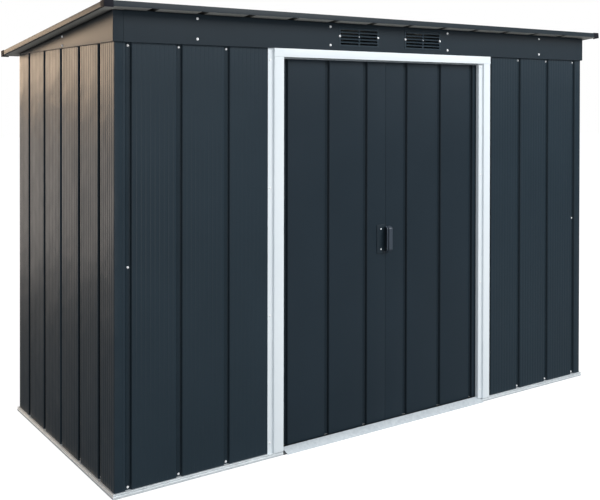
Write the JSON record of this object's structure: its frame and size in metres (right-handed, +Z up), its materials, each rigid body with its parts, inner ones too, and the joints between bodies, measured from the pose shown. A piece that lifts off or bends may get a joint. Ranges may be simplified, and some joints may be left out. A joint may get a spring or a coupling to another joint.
{
  "type": "metal storage shed",
  "caption": "Pent-roof metal storage shed of ribbed anthracite sheet with a white door frame, sliding doors, louvred vents in the fascia and a galvanised base rail.",
  "frame": {"origin": "middle of the footprint under the roof, on the ground", "axes": "+X along the front to the right, +Y from the front to the back, +Z up"},
  "size_m": [2.647, 1.2132, 1.7479],
  "materials": {
    "wall_sheet": "satin anthracite polyester paint on ribbed galvanised sheet steel",
    "door_sheet": "satin anthracite polyester paint on ribbed sheet steel",
    "fascia_sheet": "satin anthracite paint on flat sheet steel",
    "roof_sheet": "satin anthracite paint on ribbed sheet steel",
    "roof_trim": "satin anthracite paint on folded sheet steel",
    "vent_louvre": "satin anthracite paint on a pressed louvre plate",
    "white_frame": "satin white paint on folded sheet steel",
    "galvanised_base": "bright galvanised folded steel",
    "galvanised_rail": "galvanised folded steel",
    "handle_plastic": "moulded dark grey plastic",
    "slide_plastic": "moulded black plastic",
    "cap_plastic": "moulded grey plastic"
  },
  "bodies": {
    "shed": {"base_rail_front": "galvanised_base", "base_rail_back": "galvanised_base", "base_rail_left": "galvanised_base", "base_rail_right": "galvanised_base", "door_threshold": "galvanised_base", "front_left_panel": "wall_sheet", "front_right_panel": "wall_sheet", "left_panel_front": "wall_sheet", "left_panel_back": "wall_sheet", "right_panel_front": "wall_sheet", "right_panel_back": "wall_sheet", "back_panel_1": "wall_sheet", "back_panel_2": "wall_sheet", "back_panel_3": "wall_sheet", "back_panel_4": "wall_sheet", "top_rail_front": "galvanised_rail", "top_rail_back": "galvanised_rail", "top_rail_left": "galvanised_rail", "top_rail_right": "galvanised_rail", "mid_rails": "galvanised_rail", "door_track": "galvanised_rail", "front_fascia": "fascia_sheet", "fascia_brackets": "galvanised_rail", "left_gable_front": "fascia_sheet", "left_gable_back": "fascia_sheet", "right_gable_front": "fascia_sheet", "right_gable_back": "fascia_sheet", "vent_left": "vent_louvre", "vent_right": "vent_louvre", "roof_beam": "galvanised_rail", "roof_sheet_1": "roof_sheet", "roof_sheet_2": "roof_sheet", "roof_sheet_3": "roof_sheet", "roof_sheet_4": "roof_sheet", "roof_trim_front": "roof_trim", "roof_trim_back": "roof_trim", "roof_trim_left": "roof_trim", "roof_trim_right": "roof_trim", "roof_corner_caps": "cap_plastic", "door_jamb_left": "white_frame", "door_jamb_right": "white_frame", "door_header": "white_frame"},
    "door_left": {"door_left_panel": "door_sheet", "door_left_rails": "door_sheet", "door_left_slides": "slide_plastic", "door_handle": "handle_plastic"},
    "door_right": {"door_right_panel": "door_sheet", "door_right_rails": "door_sheet", "door_right_slides": "slide_plastic"}
  },
  "joints": [
    {"name": "left_door_slide", "type": "slide", "parent": "shed", "child": "door_left", "axis": [-1, 0, 0], "range_m": [0, 0.485]},
    {"name": "right_door_slide", "type": "slide", "parent": "shed", "child": "door_right", "axis": [1, 0, 0], "range_m": [0, 0.54]}
  ]
}
